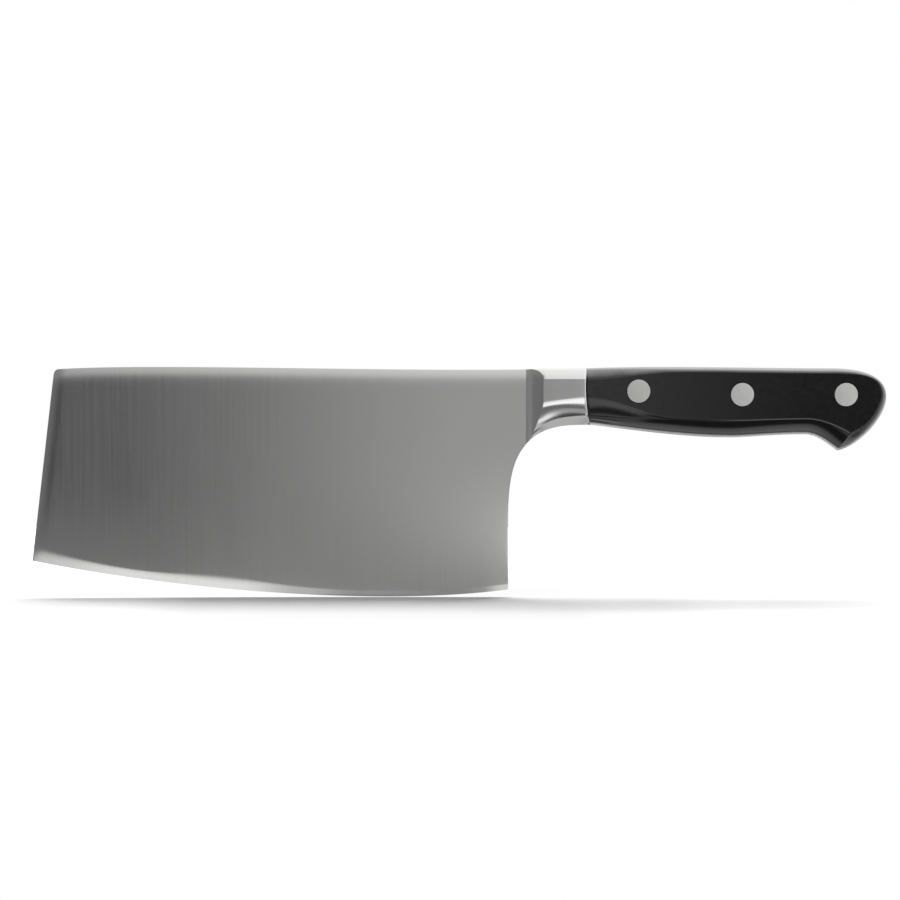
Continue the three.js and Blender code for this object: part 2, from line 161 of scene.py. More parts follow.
# How each curve of the handle's outline leaves its first corner and meets its last, as shares of its run
JOINT_TO_BELLY = (0.09, 0), (0.4, 0)
BELLY_TO_WAIST = (0.23, 0), (0.38, 0)
WAIST_TO_HOOK = (0.41, 0), (0.3, 0.42)
HOOK_TO_BUTT = (0.5, 0.1), (0, 0.36)
BUTT_TO_TOP = (0, 0.52), (0.78, 0)
TOP_TO_JOINT = (0.3, 0), (0.28, 0)

# Rivets
RIVET_HEAD = 8.2
RIVET_HEAD_DEPTH = 2.6
RIVET_TUBE = 5.6
RIVET_STEM = 4
RIVET_FIT = 0.2
RIVET_END_GAP = 0.4
RIVET_SINK = 0.06
RIVET_CHAMFER = 0.18
RIVET_CHAMFER_BULGE = 0.3
RIVET_DOME = 0.02
FIRST_RIVET_FROM_JOINT = 18
LAST_RIVET_FROM_BUTT = 15.3
FIRST_RIVET_DEPTH = 8
REAR_RIVET_DEPTH = 9.2

# Places that follow from the sizes above
HALF_BLADE = BLADE_THICKNESS / 2
NECK_Z = SPINE_HEIGHT - NECK_HEIGHT
BUTT_X = BOLSTER_REAR + HANDLE_LENGTH
TANG_START = BOLSTER_START + TANG_INSIDE

# The drawing's zero, at the heel and the foot of the edge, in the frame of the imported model
bolster_low, bolster_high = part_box("bolster_left")
ZERO_X = bolster_low.x / MM - BOLSTER_START
ZERO_Z = bolster_high.z / MM - SPINE_HEIGHT


def mix(a, b, share):
    return a + (b - a) * share


def smooth(low, high, value):
    share = min(1.0, max(0.0, (value - low) / (high - low)))
    return share * share * (3 - 2 * share)


def bezier(points, share):
    while len(points) > 1:
        points = [a.lerp(b, share) for a, b in zip(points, points[1:])]
    return points[0]


def sampled(points, steps):
    return [bezier(points, i / steps) for i in range(steps + 1)]


def at(x, z):
    return Vector((x, z))


# Shapes shared by several pieces

def blade_side(z):
    return mix(FLAT_FOOT_THICKNESS, BLADE_THICKNESS, z / SPINE_HEIGHT) / 2


def rolled(distance, reach, slope):
    return slope * reach / 2 * max(0.0, 1 - distance / reach) ** 2


def blade_half(z, from_spine):
    return blade_side(z) - rolled(from_spine, SPINE_ROLL, SPINE_ROLL_SLOPE)


def handle_side(x):
    return mix(HANDLE_FRONT_THICKNESS, HANDLE_REAR_THICKNESS, (x - BOLSTER_REAR) / HANDLE_LENGTH) / 2


def knuckle_height(x):
    across = max(0.0, 1 - x / BOLSTER_REAR) ** KNUCKLE_POWER_X
    return KNUCKLE_FOOT + (NECK_Z - KNUCKLE_FOOT) * (1 - across) ** (1 / KNUCKLE_POWER_Z)


def heel_place(z):
    rise = min(1.0, max(0.0, (z - KNUCKLE_FOOT) / (NECK_Z - KNUCKLE_FOOT)))
    return BOLSTER_REAR * (1 - (1 - rise ** KNUCKLE_POWER_Z) ** (1 / KNUCKLE_POWER_X))


def bolster_top(x):
    return SPINE_HEIGHT - SPINE_STEP * max(0.0, 1 - (x - BOLSTER_START) / HOLLOW_LENGTH)


def joint_bow(x, z):
    """How far the joint of bolster and scales lies behind a plumb line. It bows forward under the top."""
    from_bow = SPINE_HEIGHT - JOINT_BOW_DEPTH - z
    bow = from_bow ** 2 / (2 * JOINT_BOW_RADIUS) - JOINT_BOW
    return bow * (1 - smooth(0, JOINT_BOW_REACH, abs(x - BOLSTER_REAR)))


def curve_between(start, end, leave, meet):
    run = end - start
    return [
        start,
        start + at(run.x * leave[0], run.y * leave[1]),
        end - at(run.x * meet[0], run.y * meet[1]),
        end,
    ]


# Numbers of those curves of the handle's outline that need care of their own
JOINT_CURVE = 0
BUTT_CURVE = 3
TOP_CURVE = 5


def handle_curves():
    """The handle's outline in six curves, from the joint along the underside, round the butt and on top.

    With each corner: how far the scales lie inside it, how far their crease lies inside them, and how
    round they are between the two.
    """
    joint = at(BOLSTER_REAR, NECK_Z)
    belly = at(BOLSTER_REAR + BELLY_FROM_JOINT, SPINE_HEIGHT - BELLY_HEIGHT)
    waist = at(BUTT_X - WAIST_FROM_BUTT, SPINE_HEIGHT - WAIST_HEIGHT)
    hook = at(BUTT_X - HOOK_FROM_BUTT, SPINE_HEIGHT - HOOK_HEIGHT)
    butt = at(BUTT_X, SPINE_HEIGHT - BUTT_DEPTH)
    butt_top = at(BUTT_X - BUTT_TOP_FROM_BUTT, SPINE_HEIGHT)
    joint_top = at(BOLSTER_REAR, SPINE_HEIGHT)
    curves = [
        curve_between(joint, belly, *JOINT_TO_BELLY),
        curve_between(belly, waist, *BELLY_TO_WAIST),
        curve_between(waist, hook, *WAIST_TO_HOOK),
        curve_between(hook, butt, *HOOK_TO_BUTT),
        curve_between(butt, butt_top, *BUTT_TO_TOP),
        curve_between(butt_top, joint_top, *TOP_TO_JOINT),
    ]
    curves[TOP_CURVE][2] += at(0, TOP_CROWN)
    corners = [
        (at(0, TANG_PROUD), at(0, FACET_AT_JOINT), FACET_ROUNDNESS),
        (at(0, TANG_PROUD), at(0, FACET_AT_BELLY), FACET_ROUNDNESS),
        (at(0, TANG_PROUD), at(0, FACET_AT_WAIST), FACET_ROUNDNESS),
        (at(TANG_PROUD_TOP, TANG_PROUD), at(HOOK_CREASE_SHIFT, FACET_AT_HOOK), FACET_ROUNDNESS),
        (at(-TANG_PROUD_TOP, 0), at(-BUTT_ROUND, 0), 1),
        (at(0, -TANG_PROUD_TOP), at(0, -TOP_ROUND), 1),
        (at(0, -TANG_PROUD_TOP), at(0, -TOP_ROUND), 1),
    ]
    return curves, corners


def pushed(curve, start, end):
    return [curve[0] + start, curve[1] + start, curve[2] + end, curve[3] + end]


# Meshes and pieces

SHARP_ANGLE = math.radians(32)
SAME_PLACE = 1e-6
NO_LENGTH = 1e-7

# How much more the large faces count in the shading, so that flat faces beside small rounds look flat
LARGE_FACE_WEIGHT = 80


def clean_mesh(bm):
    bmesh.ops.remove_doubles(bm, verts=bm.verts, dist=SAME_PLACE)
    bmesh.ops.dissolve_degenerate(bm, edges=bm.edges, dist=NO_LENGTH)
    bmesh.ops.recalc_face_normals(bm, faces=bm.faces)
    for face in bm.faces:
        face.smooth = True
    for edge in bm.edges:
        edge.smooth = len(edge.link_faces) == 2 and edge.calc_face_angle() < SHARP_ANGLE


def soften(bm, chosen, width, segments=2, clamped=True):
    """Rounds the sharp edges that a test on their two ends picks, over a width in millimetres."""
    sharp = [edge for edge in bm.edges if not edge.smooth and chosen(*(v.co / MM for v in edge.verts))]
    bmesh.ops.bevel(bm, geom=sharp, offset=width * MM, segments=segments, profile=0.5,
                    affect="EDGES", clamp_overlap=clamped)
    clean_mesh(bm)


def mesh_from(bm, name):
    mesh = bpy.data.meshes.new(name)
    bm.to_mesh(mesh)
    bm.free()
    side_view = mesh.uv_layers.new(name="side_view")
    for loop in mesh.loops:
        corner = mesh.vertices[loop.vertex_index].co
        side_view.data[loop.index].uv = (corner.x, corner.z)
    return mesh


def solid(points, faces):
    """A closed mesh in metres from points in the drawing's millimetres."""
    bm = bmesh.new()
    corners = [bm.verts.new(((x + ZERO_X) * MM, y * MM, (z + ZERO_Z) * MM)) for x, y, z in points]
    for face in faces:
        ring = [corners[i] for i in dict.fromkeys(face)]
        if len(ring) > 2:
            bm.faces.new(ring)
    clean_mesh(bm)
    return bm


def new_object(name, data):
    made = bpy.data.objects.new(name, data)
    bpy.context.scene.collection.objects.link(made)
    return made


def piece(name, bm, material, slot, *nodes):
    mesh = mesh_from(bm, name)
    mesh.materials.append(material)
    made = new_object(name, mesh)
    even = made.modifiers.new("even_shading", "WEIGHTED_NORMAL")
    even.keep_sharp = True
    even.weight = LARGE_FACE_WEIGHT
    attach(made, "root")
    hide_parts(*nodes)


def mirrored(points):
    return [(x, -y, z) for x, y, z in points]


def added(points, more):
    """Adds points to a list and gives back their numbers."""
    first = len(points)
    points += more
    return list(range(first, len(points)))


def quads(rows, columns, number):
    """Faces of a grid of points, numbered by a function of row and column."""
    return [
        (number(r, c), number(r, c + 1), number(r + 1, c + 1), number(r + 1, c))
        for r in range(rows - 1) for c in range(columns - 1)
    ]


def tube(rings):
    """A closed solid over rings of points, with a face on its first and its last ring."""
    width = len(rings[0])
    points = [p for ring in rings for p in ring]
    faces = quads(len(rings), width + 1, lambda r, c: r * width + c % width)
    faces.append(tuple(range(width))[::-1])
    faces.append(tuple(len(points) - width + i for i in range(width)))
    return solid(points, faces)


ROUND_SIDES = 96


def lathe(profile, x, z, side):
    """A turned piece on an axis along Y, from a profile of radius and distance from the knife's middle."""
    points, rings = [], []
    for radius, y in profile:
        turns = [2 * math.pi * i / ROUND_SIDES for i in range(ROUND_SIDES if radius > 0 else 1)]
        ring = [(x + radius * math.cos(turn), side * y, z + radius * math.sin(turn)) for turn in turns]
        rings.append(added(points, ring))

    def number(k, i):
        return rings[k][i % len(rings[k])]

    faces = []
    for k in range(len(rings) - 1):
        for i in range(ROUND_SIDES):
            faces.append((number(k, i), number(k, i + 1), number(k + 1, i + 1), number(k + 1, i)))
    return solid(points, faces)


# Blade

OUTLINE_STEPS = 400
FRONT_FOOT = at(-BLADE_LENGTH, FRONT_CORNER_RISE)
FRONT_TOP = at(-BLADE_LENGTH + FRONT_SETBACK, SPINE_HEIGHT - SPINE_STEP)
HEEL = at(0, HEEL_CORNER_RISE)
EDGE = sampled([
    FRONT_FOOT,
    FRONT_FOOT + EDGE_FRONT_PULL * at(1, -EDGE_FRONT_SLOPE),
    HEEL - EDGE_HEEL_PULL * at(1, EDGE_HEEL_SLOPE),
    HEEL,
], OUTLINE_STEPS)
SPINE = sampled([
    FRONT_TOP,
    at(-BLADE_LENGTH * SPINE_CROWN_PLACE, SPINE_HEIGHT + SPINE_CROWN),
    at(-BLADE_LENGTH * SPINE_SAG_PLACE, SPINE_HEIGHT - SPINE_SAG),
    at(BOLSTER_START, bolster_top(BOLSTER_START)),
], OUTLINE_STEPS)
EDGE_X, EDGE_Z = np.array([tuple(p) for p in EDGE]).T
SPINE_X, SPINE_Z = np.array([tuple(p) for p in SPINE]).T

# Lines of the blade's mesh: behind the front, before the heel, below the spine, and as shares of the band
FRONT_LINES = [0, 0.4, 0.9, 1.4, 2, 2.7, 3.5, FRONT_ROLL]
HEEL_LINES = [HEEL_MARGIN, 2, 1, 0]
SPINE_LINES = [SPINE_ROLL, 6.7, 5.9, 5.1, 4.3, 3.5, 2.8, 2.1, 1.4, 0.8, 0.4, 0]
BAND_LINES = [0, 0.05, 0.12, 0.2, 0.3, 0.4, 0.5, 0.6, 0.7, 0.8, 0.9, 1]
MIDDLE_COLUMNS = 56
LOW_ROWS = 16
HIGH_ROWS = 8
SETTLING_ROUNDS = 12

# The low rows end, and the high rows start, where the bolster meets the heel
SPLIT_Z = knuckle_height(BOLSTER_START)

# The rim is rounded from this height above the cutting edge and from this far behind the heel,
# but not along edges that run further than this across the blade
EDGE_KEPT_SHARP = 0.6
BEHIND_HEEL = 1
RIM_ACROSS = 0.5


def edge_height(x):
    return float(np.interp(x, EDGE_X, EDGE_Z))


def spine_height(x):
    return float(np.interp(x, SPINE_X, SPINE_Z))


def front_place(z):
    return mix(FRONT_FOOT.x, FRONT_TOP.x, (z - FRONT_FOOT.y) / (FRONT_TOP.y - FRONT_FOOT.y))


def rear_place(z):
    return min(heel_place(z), BOLSTER_START)


def band_height(x):
    from_front = x + BLADE_LENGTH
    front = (BAND_FRONT - BAND_HEEL) * math.exp(-from_front / BAND_FRONT_REACH)
    hump = BAND_HUMP * math.exp(-((from_front - BAND_HUMP_FROM_FRONT) / BAND_HUMP_REACH) ** 2)
    return BAND_HEEL + front + hump


def rounded_corner(p, q, radius):
    """Two distances from the sides of a square corner, moved so that the corner is round."""
    a, b = 1 - p / radius, 1 - q / radius
    if min(a, b) <= 0:
        return p, q
    length = max(a, b)
    turn = math.pi / 4 * (b / a if a >= b else 2 - a / b)
    return radius * (1 - length * math.cos(turn)), radius * (1 - length * math.sin(turn))


def column_place(where, step, z):
    low, high = front_place(z), rear_place(z)
    if where == "front":
        return low + step
    if where == "heel":
        return high - step
    return mix(low + FRONT_ROLL, high - HEEL_MARGIN, step)


def row_height(kind, value, x):
    foot, top, band = edge_height(x), spine_height(x), band_height(x)
    if kind == "band":
        return foot + value * band
    if kind == "low":
        return mix(foot + band, SPLIT_Z, value)
    if kind == "high":
        return mix(SPLIT_Z, top - SPINE_ROLL, value)
    return top - value


def blade_point(row, column):
    """Where a row and a column cross. Place and height depend on each other, so they settle by turns."""
    z = SPLIT_Z
    for _ in range(SETTLING_ROUNDS):
        x = column_place(*column, z)
        z = row_height(*row, x)
    from_front, from_spine = x - front_place(z), spine_height(x) - z
    half = blade_half(z, from_spine) - rolled(from_front, FRONT_ROLL, FRONT_ROLL_SLOPE)
    share = min(1.0, (z - edge_height(x)) / band_height(x))
    half -= (half - EDGE_THICKNESS / 2) * (1 - share) ** BAND_THINNING
    p, q = rounded_corner(from_front, from_spine, FRONT_CORNER_RADIUS)
    return x + p - from_front, half, z - (q - from_spine)


def blade_bm():
    columns = [("front", d) for d in FRONT_LINES]
    columns += [("middle", i / MIDDLE_COLUMNS) for i in range(1, MIDDLE_COLUMNS)]
    columns += [("heel", d) for d in HEEL_LINES]
    rows = [("band", s) for s in BAND_LINES]
    rows += [("low", i / LOW_ROWS) for i in range(1, LOW_ROWS + 1)]
    rows += [("high", i / HIGH_ROWS) for i in range(1, HIGH_ROWS)]
    rows += [("spine", d) for d in SPINE_LINES]
    width, height = len(columns), len(rows)
    last_row, last_column = height - 1, width - 1
    split_row = len(BAND_LINES) + LOW_ROWS - 1

    def number(r, c):
        return r * width + c

    points = [blade_point(row, column) for row in rows for column in columns]
    faces = quads(height, width, number)
    tang_rim = add_tang(points, faces, [number(r, last_column) for r in range(split_row, height)])

    # The rim, round the whole outline
    rim = [number(0, c) for c in range(width)]
    rim += [number(r, last_column) for r in range(1, split_row + 1)]
    rim += tang_rim
    rim += [number(last_row, c) for c in range(last_column, -1, -1)]
    rim += [number(r, 0) for r in range(last_row - 1, 0, -1)]

    count = len(points)
    sides = faces + [tuple(i + count for i in face[::-1]) for face in faces]
    walls = [(a, b, b + count, a + count) for a, b in zip(rim, rim[1:] + rim[:1])]
    bm = solid(mirrored(points) + points, sides + walls)

    def on_rim(a, b):
        lift = min(p.z - ZERO_Z - edge_height(p.x - ZERO_X) for p in (a, b))
        across = abs(a.y - b.y) > RIM_ACROSS
        return not across and (a.x > ZERO_X + BEHIND_HEEL or lift > EDGE_KEPT_SHARP)

    soften(bm, on_rim, RIM_ROUND)
    return bm


# Tang

NECK_STEPS = 16
TANG_STEPS = 24


def tang_sink(x):
    """How deep the tang lies under the bolster's seam."""
    return SEAM_COVER * smooth(BOLSTER_START, TANG_START, x) * (1 - smooth(TANG_RETURN, BOLSTER_REAR, x))


def tang_outline():
    """The tang's outline from under the bolster, round the handle and back, and where its rim falls off."""
    neck = np.linspace(TANG_START, BOLSTER_REAR, NECK_STEPS)[1:-1]
    outline = [at(x, knuckle_height(x) + tang_sink(x)) for x in neck]
    inset = [p + at(0, TANG_RIM) for p in outline]
    curves, corners = handle_curves()
    for curve, (proud, _, _), (proud_end, _, _) in zip(curves, corners, corners[1:]):
        outline += sampled(curve, TANG_STEPS)[:-1]
        inward, inward_end = proud.normalized() * TANG_RIM, proud_end.normalized() * TANG_RIM
        inset += sampled(pushed(curve, inward, inward_end), TANG_STEPS)[:-1]
    top = [at(x, bolster_top(x) - tang_sink(x)) for x in [BOLSTER_REAR, *neck[::-1]]]
    outline += top
    inset += [p - at(0, TANG_RIM) for p in top]
    return outline, inset


def add_tang(points, faces, heel_column):
    """Adds a column under the bolster and a flat face to the butt, and gives back their part of the rim."""
    foot = knuckle_height(TANG_START) + tang_sink(TANG_START)
    top = bolster_top(TANG_START) - tang_sink(TANG_START)
    heights = []
    for i in heel_column:
        share = (points[i][2] - SPLIT_Z) / (spine_height(BOLSTER_START) - SPLIT_Z)
        heights.append(mix(foot, top, share))
    column = added(points, [(TANG_START, blade_half(z, top - z), z) for z in heights])
    for i in range(len(column) - 1):
        faces.append((heel_column[i], column[i], column[i + 1], heel_column[i + 1]))

    outline, inset = tang_outline()
    tang_ring = added(points, [(p.x, HALF_BLADE - TANG_RIM_FALL, p.y) for p in outline])
    inset_ring = added(points, [(p.x, HALF_BLADE, p.y) for p in inset])
    for i in range(len(outline) - 1):
        faces.append((tang_ring[i], tang_ring[i + 1], inset_ring[i + 1], inset_ring[i]))

    face_column = added(points, [(TANG_START + SEAM_COVER, HALF_BLADE, z) for z in heights])
    for i in range(len(column) - 1):
        faces.append((column[i], face_column[i], face_column[i + 1], column[i + 1]))
    faces.append((face_column[0], tang_ring[0], inset_ring[0]))
    faces.append((face_column[-1], inset_ring[-1], tang_ring[-1]))
    faces.append(tuple([face_column[0]] + inset_ring + face_column[:0:-1]))
    return [column[0], face_column[0]] + tang_ring + [face_column[-1], column[-1]]


# Bolster

FACET_STEPS = 6
TURN_STEPS = 12
SIDE_STEPS = 3
ROUND_STEPS = 12
HOLLOW_STEPS = 10
BODY_STEPS = 18
HALVINGS = 40

# Edges closer to the joint than this belong to the bolster's rear
REAR_ZONE = 1
REAR_SEGMENTS = 4


def bolster_contour(x):
    """Half section from the middle of the underside over the side to the middle of the top."""
    share = (x - BOLSTER_START) / (BOLSTER_REAR - BOLSTER_START)
    side = mix(BOLSTER_FRONT_THICKNESS, HANDLE_FRONT_THICKNESS, share) / 2
    crease = mix(BOLSTER_FRONT_CREASE, BOLSTER_REAR_CREASE, share) / 2
    foot = knuckle_height(x)
    crease_z = foot + BOLSTER_FACET * max(0.0, share) ** BOLSTER_FACET_GROWTH
    top = bolster_top(x)
    side_foot = SPINE_HEIGHT - mix(BOLSTER_SIDE_FOOT_FRONT, BOLSTER_SIDE_FOOT, share)
    roundness = mix(BOLSTER_ROUNDNESS_FRONT, BOLSTER_ROUNDNESS, share)
    contour = [(0, foot)]
    for i in range(FACET_STEPS):
        turn = i / FACET_STEPS
        contour.append((mix(HALF_BLADE, crease, turn), mix(foot, crease_z, turn)))
    for i in range(TURN_STEPS):
        turn = i / TURN_STEPS
        contour.append((mix(crease, side, 1 - (1 - turn) ** roundness), mix(crease_z, side_foot, turn)))
    for i in range(SIDE_STEPS):
        contour.append((side, mix(side_foot, top - BOLSTER_TOP_ROUND, i / SIDE_STEPS)))
    for i in range(ROUND_STEPS + 1):
        angle = i / ROUND_STEPS * math.pi / 2
        contour.append((HALF_BLADE + (side - HALF_BLADE) * math.cos(angle),
                        top - BOLSTER_TOP_ROUND * (1 - math.sin(angle))))
    contour.append((0, top))
    return contour


def hollow(x, z):
    """Half thickness of the hollow that rises from the blade to the bolster."""
    share = max(0.0, (x - BOLSTER_START) / HOLLOW_LENGTH)
    rise = (math.hypot(share, HOLLOW_FOOT) - HOLLOW_FOOT) / (math.hypot(1, HOLLOW_FOOT) - HOLLOW_FOOT)
    return blade_half(z, bolster_top(x) - z) - HOLLOW_SINK + HOLLOW_RISE * rise


def lip_place(k):
    """Where the hollow in front meets the section's point number k."""
    low, high = BOLSTER_START, BOLSTER_START + 2 * HOLLOW_LENGTH
    for _ in range(HALVINGS):
        x = (low + high) / 2
        y, z = bolster_contour(x)[k]
        low, high = (x, high) if hollow(x, z) < y else (low, x)
    return low


def bolster_ring(column, lips, side):
    """Ring of points round one cheek: over the outside from the underside to the top, and back inside."""
    ring = []
    for k, lip in enumerate(lips):
        if column < HOLLOW_STEPS:
            x = mix(BOLSTER_START, lip, math.sin(column / HOLLOW_STEPS * math.pi / 2))
        else:
            x = mix(lip, BOLSTER_REAR, (column - HOLLOW_STEPS) / BODY_STEPS)
        y, z = bolster_contour(x)[k]
        if column < HOLLOW_STEPS:
            y = min(y, hollow(x, z))
        ring.append((x + joint_bow(x, z), side * y, z))
    foot_x, _, foot = ring[0]
    top_x, _, top = ring[-1]
    inner_top = min(HALF_BLADE, hollow(top_x, top) - SEAM_COVER)
    inner_foot = min(HALF_BLADE, hollow(foot_x, foot) - SEAM_COVER)
    return ring + [
        (top_x, 0, top - SEAM_COVER),
        (top_x, side * inner_top, top - SEAM_COVER),
        (foot_x, side * inner_foot, foot + SEAM_COVER),
        (foot_x, 0, foot + SEAM_COVER),
    ]


def bolster_bm(side):
    lips = [lip_place(k) for k in range(len(bolster_contour(BOLSTER_REAR)))]
    bm = tube([bolster_ring(column, lips, side) for column in range(HOLLOW_STEPS + BODY_STEPS + 1)])
    rear = ZERO_X + BOLSTER_REAR - REAR_ZONE

    def outside(*ends):
        return min(abs(end.y) for end in ends) > HALF_BLADE + SEAM_COVER

    soften(bm, lambda a, b: outside(a, b) and a.x < rear, LIP_ROUND)
    soften(bm, lambda a, b: outside(a, b) and a.x > rear, REAR_ROUND, REAR_SEGMENTS, False)
    return bm


# Scales

CURVE_STEPS = 22
JOINT_STEP = 0.01
SCALE_FACET_STEPS = 8
SCALE_TURN_STEPS = 10
FRONT_SEGMENTS = 3
FRONT_SLACK = 0.01
BORER_PROUD = 1


def rivet_places():
    first = BOLSTER_REAR + FIRST_RIVET_FROM_JOINT
    last = BUTT_X - LAST_RIVET_FROM_BUTT
    return [
        ("front", first, SPINE_HEIGHT - FIRST_RIVET_DEPTH),
        ("middle", (first + last) / 2, SPINE_HEIGHT - REAR_RIVET_DEPTH),
        ("rear", last, SPINE_HEIGHT - REAR_RIVET_DEPTH),
    ]


def rivet_seat(x):
    return handle_side(x) - RIVET_SINK - RIVET_HEAD_DEPTH


def scale_curves(i):
    """Along curve i of the outline: the scale's rim, its crease, and where the flat side starts."""
    curves, corners = handle_curves()
    (proud, facet, _), (proud_end, facet_end, _) = corners[i], corners[i + 1]
    rim = pushed(curves[i], proud, proud_end)
    crease = pushed(rim, facet, facet_end)
    if i == BUTT_CURVE:
        shift = BUTT_CREASE_SHIFT * at(-1, BUTT_CREASE_RISE)
        crease[1] += shift
        crease[2] += shift
    deep = pushed(crease, facet.normalized() * CREASE_SOFT, facet_end.normalized() * CREASE_SOFT)
    return rim, crease, deep


def scale_section(i, share, curves, roundness):
    """Half section at a share of curve i, from the rim over the crease to the flat side."""
    rim, crease, deep = [bezier(curve, share) for curve in curves]
    from_joint = rim.x - BOLSTER_REAR
    if i == TOP_CURVE:
        extra = (TOP_ROUND_AT_JOINT - TOP_ROUND) * (1 - smooth(0, TOP_ROUND_REACH, from_joint))
        crease.y -= extra
        deep.y -= extra
    crease_side = handle_side(crease.x) - CREASE_DROP * (1 - roundness)
    if i == JOINT_CURVE:
        near = 1 - smooth(0, TURN_REACH, from_joint)
        crease_side = mix(crease_side, BOLSTER_REAR_CREASE / 2, near)
        deep.y = mix(deep.y, SPINE_HEIGHT - BOLSTER_SIDE_FOOT, near)
    section = []
    for step in range(SCALE_FACET_STEPS):
        up = step / SCALE_FACET_STEPS
        angle = up * math.pi / 2
        place = rim.lerp(crease, mix(up, 1 - math.cos(angle), roundness))
        y = mix(HALF_BLADE, crease_side, mix(up, math.sin(angle), roundness))
        section.append((place.x, y, place.y))
    for step in range(SCALE_TURN_STEPS + 1):
        up = step / SCALE_TURN_STEPS
        place = crease.lerp(deep, up)
        y = mix(crease_side, handle_side(place.x), 1 - (1 - up) ** BOLSTER_ROUNDNESS)
        section.append((place.x, y, place.y))
    return section


def scale_bm(side):
    _, corners = handle_curves()
    sections = []
    for i in range(len(corners) - 1):
        curves = scale_curves(i)
        round_start, round_end = corners[i][2], corners[i + 1][2]
        shares = [k / CURVE_STEPS for k in range(CURVE_STEPS)]
        if i == TOP_CURVE:
            shares += [1 - JOINT_STEP, 1]
        for share in shares:
            turned = smooth(0, BUTT_TURN, share) if i == BUTT_CURVE else share
            sections.append(scale_section(i, share, curves, mix(round_start, round_end, turned)))
    bm = tube([[(x + joint_bow(x, z), side * y, z) for x, y, z in ring] for ring in zip(*sections)])
    front = ZERO_X + BOLSTER_REAR + joint_bow(BOLSTER_REAR, NECK_Z) + FRONT_SLACK

    def on_front(a, b):
        return max(a.x, b.x) < front and min(abs(a.y), abs(b.y)) > HALF_BLADE

    soften(bm, on_front, FRONT_ROUND, FRONT_SEGMENTS, False)
    return cut_round_holes(bm, side)


def cut_round_holes(bm, side):
    """The seats of the rivet heads, bored into a scale."""
    blank = new_object("blank", bpy.data.meshes.new("blank"))
    bm.to_mesh(blank.data)
    bm.free()
    cutters = []
    for name, x, z in rivet_places():
        seat, outside = rivet_seat(x), handle_side(x) + BORER_PROUD
        radius = RIVET_HEAD / 2 + RIVET_FIT
        borer_bm = lathe([(0, seat), (radius, seat), (radius, outside), (0, outside)], x, z, side)
        borer = new_object("borer_" + name, mesh_from(borer_bm, "borer"))
        bore = blank.modifiers.new("bore", "BOOLEAN")
        bore.operation = "DIFFERENCE"
        bore.solver = "EXACT"
        bore.object = borer
        cutters.append(borer)
    bpy.context.view_layer.update()
    bored = blank.evaluated_get(bpy.context.evaluated_depsgraph_get())
    result = bmesh.new()
    result.from_mesh(bored.to_mesh())
    for made in cutters + [blank]:
        bpy.data.objects.remove(made)
    clean_mesh(result)
    return result


# Rivets

def rivet_profiles(x):
    """The halves of a rivet: a post with a solid stem, and a sleeve with a tube that takes it."""
    seat = rivet_seat(x)
    head = handle_side(x) - RIVET_SINK
    rim, chamfer = RIVET_HEAD / 2, RIVET_CHAMFER
    bulge = RIVET_CHAMFER_BULGE * chamfer
    face = [(rim, seat), (rim, head - chamfer), (rim - bulge, head - bulge), (rim - chamfer, head),
            (0, head + RIVET_DOME)]
    stem, stem_end = RIVET_STEM / 2, -seat + 2 * RIVET_END_GAP
    post = [(0, stem_end), (stem, stem_end), (stem, seat)] + face
    bore, bore_end = stem + RIVET_FIT, seat - RIVET_END_GAP
    outer, tube_end = RIVET_TUBE / 2, -seat + RIVET_END_GAP
    sleeve = [(0, bore_end), (bore, bore_end), (bore, tube_end), (outer, tube_end), (outer, seat)] + face
    return post, sleeve


# Nodes of materials and of the world

